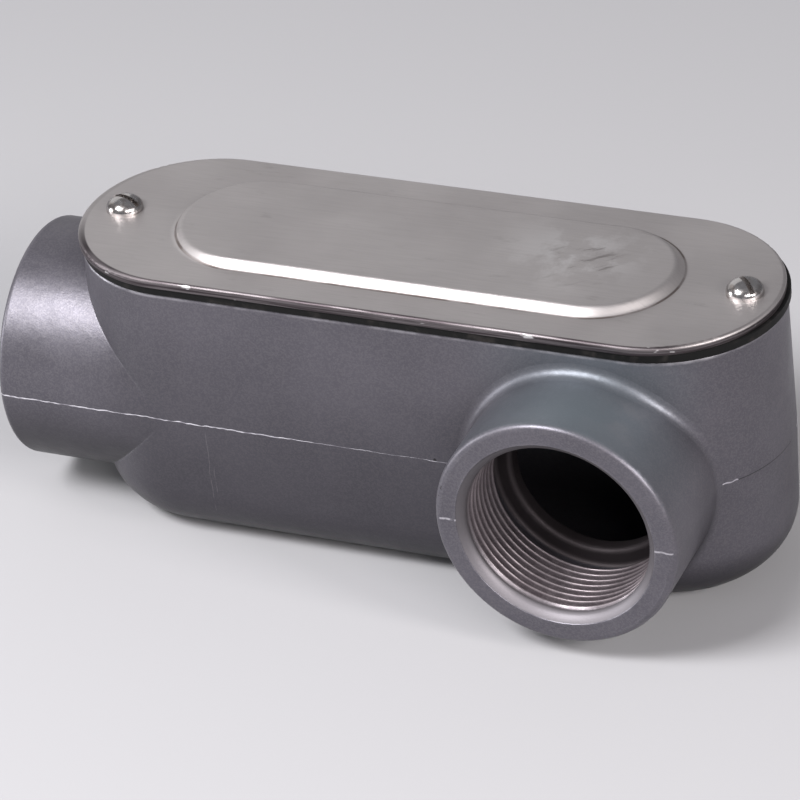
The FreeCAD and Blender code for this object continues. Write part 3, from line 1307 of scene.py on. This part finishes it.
@dataclass
class Casting:
    """The die-cast housing with its two tapped hubs and the flash along its parting line."""

    frame: Frame
    hub_height: float = 35.0 * MM
    hub_radius: float = 29.4 * MM
    side_hub_offset: float = 48.4 * MM
    arc_centre: float = 58.5 * MM
    half_width: float = 29.5 * MM
    root_fillet: float = 3.0 * MM
    mouth_round: float = 1.6 * MM
    mouth_sweep: float = math.radians(62)
    full_fin: float = 72.0 * MM
    root_crumbs: tuple[float, float] = (math.radians(-47), math.radians(-39))
    back_start: float = math.radians(12)
    enamel: EnamelFinish = EnamelFinish()
    tapped: TappedFinish = TappedFinish()
    flash: FlashFinish = FlashFinish()

    def hubs(self) -> tuple[Hub, Hub]:
        """The two hubs, with their mouths on the sides of the node's box.

        Returns:
            The end hub and the side hub.
        """
        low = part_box("housing")[0]
        end = Hub("end_hub", Vector((low.x, 0, self.hub_height)), X_AXIS, self.hub_radius)
        side_mouth = Vector((self.side_hub_offset, low.y, self.hub_height))
        return end, Hub("side_hub", side_mouth, Y_AXIS, self.hub_radius)

    def at(self, x: float, y: float) -> Vector:
        """A point of the parting plane."""
        return Vector((x, y, self.hub_height))

    def end_arc(self, side: int) -> tuple[Vector, float]:
        """Where the end hub leaves the body on one side, and the angle to the straight side.

        Args:
            side: -1 for the front and 1 for the back.

        Returns:
            The point and the angle.
        """
        across = side * self.hub_radius
        along = math.sqrt(self.half_width ** 2 - self.hub_radius ** 2)
        return self.at(-self.arc_centre - along, across), math.atan2(along, self.hub_radius)

    def front_line(self, hubs: tuple[Hub, Hub]) -> list[Leg]:
        """The line along the front, from the end hub's mouth to the side hub's mouth.

        Args:
            hubs: The two hubs.

        Returns:
            The stretches of the line in order.
        """
        leave, angle = self.end_arc(-1)
        left = self.side_hub_offset - self.hub_radius
        corner = self.at(-self.arc_centre, -self.half_width)
        root = self.at(left - self.root_fillet, -self.half_width)
        root_centre = self.at(left - self.root_fillet, -self.half_width - self.root_fillet)
        hub_start = self.at(left, -self.half_width - self.root_fillet)
        hub_end = self.at(left, hubs[1].mouth.y + self.mouth_round)
        mouth = self.at(hubs[0].mouth.x + self.mouth_round, -self.hub_radius)
        mouth_centre = self.at(mouth.x, self.mouth_round - self.hub_radius)
        turn = self.mouth_sweep
        rounding = mouth_centre + Vector((-math.sin(turn), -math.cos(turn), 0)) * self.mouth_round
        return [
            RoundLeg(rounding, mouth_centre, turn),
            StraightLeg(mouth, leave),
            RoundLeg(leave, self.at(-self.arc_centre, 0), angle),
            StraightLeg(corner, root),
            RoundLeg(root, root_centre, -math.pi / 2, hollow=True),
            StraightLeg(hub_start, hub_end),
        ]

    def plain_end(self, first: float, last: float) -> RoundLeg:
        """A stretch of the line on the plain end.

        Args:
            first: Angle from the long axis at which it starts.
            last: Angle at which it ends.

        Returns:
            The stretch.
        """
        centre = self.at(self.arc_centre, 0)
        spoke = Vector((math.cos(first), math.sin(first), 0)) * self.half_width
        return RoundLeg(centre + spoke, centre, last - first)

    def root_line(self) -> list[Leg]:
        """The crumbs of the fin that are left beside the side hub's root."""
        return [self.plain_end(*self.root_crumbs)]

    def back_line(self, hubs: tuple[Hub, Hub]) -> list[Leg]:
        """The line round the back of the plain end and along the back.

        Args:
            hubs: The two hubs.

        Returns:
            The stretches of the line in order.
        """
        leave, angle = self.end_arc(1)
        corner = self.at(self.arc_centre, self.half_width)
        far_corner = self.at(-self.arc_centre, self.half_width)
        mouth = self.at(hubs[0].mouth.x + self.mouth_round, self.hub_radius)
        return [
            self.plain_end(self.back_start, math.pi / 2),
            StraightLeg(corner, far_corner),
            RoundLeg(far_corner, self.at(-self.arc_centre, 0), angle),
            StraightLeg(leave, mouth),
        ]

    def build(self) -> list[bpy.types.Object]:
        """Dress the housing and add its threads and flash.

        Returns:
            The pieces.
        """
        hubs = self.hubs()
        housing = self.frame["nodes"]["housing"]
        finish_piece(housing, self.enamel.material(hubs))
        pieces = [housing]
        tapped = self.tapped.material()
        for hub in hubs:
            thread = PipeThread(hub).build()
            finish_piece(thread, tapped)
            pieces.append(thread)
        flash = self.flash.material()
        fins = (
            PartingFlash("front_flash", self.front_line(hubs), 0.5, self.full_fin),
            PartingFlash("back_flash", self.back_line(hubs), 1.5),
            PartingFlash("root_flash", self.root_line(), 2.5),
        )
        for line in fins:
            fin = line.build()
            finish_piece(fin, flash)
            pieces.append(fin)
        return pieces


@dataclass
class CoverAndGasket:
    """The stamped cover with the rubber gasket under it."""

    frame: Frame
    sheet: SatinSheetFinish = SatinSheetFinish()
    rubber: RubberFinish = RubberFinish()

    def build(self) -> list[bpy.types.Object]:
        """Dress the two nodes.

        Returns:
            The pieces.
        """
        cover = self.frame["nodes"]["cover"]
        gasket = self.frame["nodes"]["gasket"]
        finish_piece(cover, self.sheet.material())
        finish_piece(gasket, self.rubber.material())
        return [cover, gasket]


@dataclass
class CoverScrews:
    """The two slotted round head screws."""

    frame: Frame
    plated: PlatedFinish = PlatedFinish()

    def build(self) -> list[bpy.types.Object]:
        """Dress the two nodes.

        Returns:
            The pieces.
        """
        screws = [self.frame["nodes"][name] for name in ("left_cover_screw", "right_cover_screw")]
        material = self.plated.material()
        for screw in screws:
            finish_piece(screw, material)
        return screws


@dataclass(frozen=True)
class SoftLight:
    """A rectangular soft light that faces the part."""

    name: str
    towards: Point
    distance: float
    width: float
    height: float
    watts: float
    colour: Colour = (1.0, 1.0, 1.0)

    def build(self, target: Vector) -> None:
        """Add the light.

        Args:
            target: The point that it faces.
        """
        lamp = bpy.data.lights.new(self.name, "AREA")
        lamp.shape = "RECTANGLE"
        lamp.size = self.width
        lamp.size_y = self.height
        lamp.energy = self.watts
        lamp.color = self.colour
        holder = bpy.data.objects.new(self.name, lamp)
        holder.location = target + Vector(self.towards).normalized() * self.distance
        holder.rotation_euler = (target - holder.location).to_track_quat("-Z", "Y").to_euler()
        bpy.context.scene.collection.objects.link(holder)


@dataclass(frozen=True)
class Studio:
    """Pale floor, soft lights and an evenly lit room."""

    target: Point = (0.0, -0.010, 0.035)
    lights: tuple[SoftLight, ...] = (
        SoftLight("key_light", (-0.36, -0.53, 0.77), 1.1, 0.42, 0.34, 18.6, (1.0, 0.985, 1.0)),
        SoftLight("front_light", (0.57, -0.61, 0.51), 1.3, 0.58, 0.26, 7.8, (1.0, 0.95, 0.95)),
        SoftLight("right_light", (0.88, -0.28, 0.46), 1.2, 0.30, 0.35, 9.8, (1.0, 0.96, 0.95)),
        SoftLight("left_light", (-0.93, -0.30, 0.18), 1.2, 0.30, 0.30, 6.0, (0.98, 0.98, 1.0)),
        SoftLight("back_light", (-0.82, 0.77, 0.50), 1.8, 1.9, 1.3, 3.9, (1.0, 0.985, 0.98)),
    )
    surround: Colour = (0.22, 0.22, 0.235)
    floor_half: float = 3.0
    floor_drop: float = 0.05 * MM

    def build_floor(self) -> None:
        """Add the floor just under the part."""
        turns = ((-1, -1), (1, -1), (1, 1), (-1, 1))
        corners = [Vector((x * self.floor_half, y * self.floor_half, -self.floor_drop)) for x, y in turns]
        floor = new_piece("floor", corners, [(0, 1, 2, 3)])
        floor.data.materials.append(FloorFinish().material())

    def build_surround(self) -> None:
        """Light the whole room evenly and dimly."""
        world = bpy.data.worlds.new("room")
        world.use_nodes = True
        world.node_tree.nodes["Background"].inputs["Color"].default_value = (*self.surround, 1.0)
        bpy.context.scene.world = world

    def build(self) -> None:
        """Add everything but the camera."""
        self.build_floor()
        self.build_surround()
        for light in self.lights:
            light.build(Vector(self.target))


@dataclass(frozen=True)
class ProductCamera:
    """Long lens that looks down at the cover from the side hub's side."""

    place: Point = (0.41009, -0.89469, 0.65082)
    aim: Point = (-0.00498, -0.00998, 0.035)
    roll: float = math.radians(5.6)
    lens: float = 218.68
    sensor: float = 36.0
    shift: tuple[float, float] = (-0.00688, 0.0108)
    farthest: float = 20.0

    def build(self) -> None:
        """Add the camera and make it the scene's own."""
        lens = bpy.data.cameras.new("product_camera")
        lens.lens = self.lens
        lens.sensor_width = self.sensor
        lens.sensor_fit = "HORIZONTAL"
        lens.shift_x, lens.shift_y = self.shift
        lens.clip_end = self.farthest
        holder = bpy.data.objects.new("product_camera", lens)
        holder.location = self.place
        view = (Vector(self.aim) - Vector(self.place)).to_track_quat("-Z", "Y").to_matrix()
        holder.rotation_euler = (view @ Matrix.Rotation(-self.roll, 3, "Z")).to_euler()
        bpy.context.scene.collection.objects.link(holder)
        bpy.context.scene.camera = holder


def main() -> None:
    """Build every sub-assembly in order, then the studio."""
    logging.basicConfig(level=logging.INFO, format="%(message)s")
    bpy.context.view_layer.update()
    for assembly in (Casting(frame), CoverAndGasket(frame), CoverScrews(frame)):
        for piece in assembly.build():
            LOG.info("%s: %d faces", piece.name, len(piece.data.polygons))
    Studio().build()
    ProductCamera().build()
    bpy.context.scene.view_settings.view_transform = "Standard"


if __name__ == "__main__":
    main()
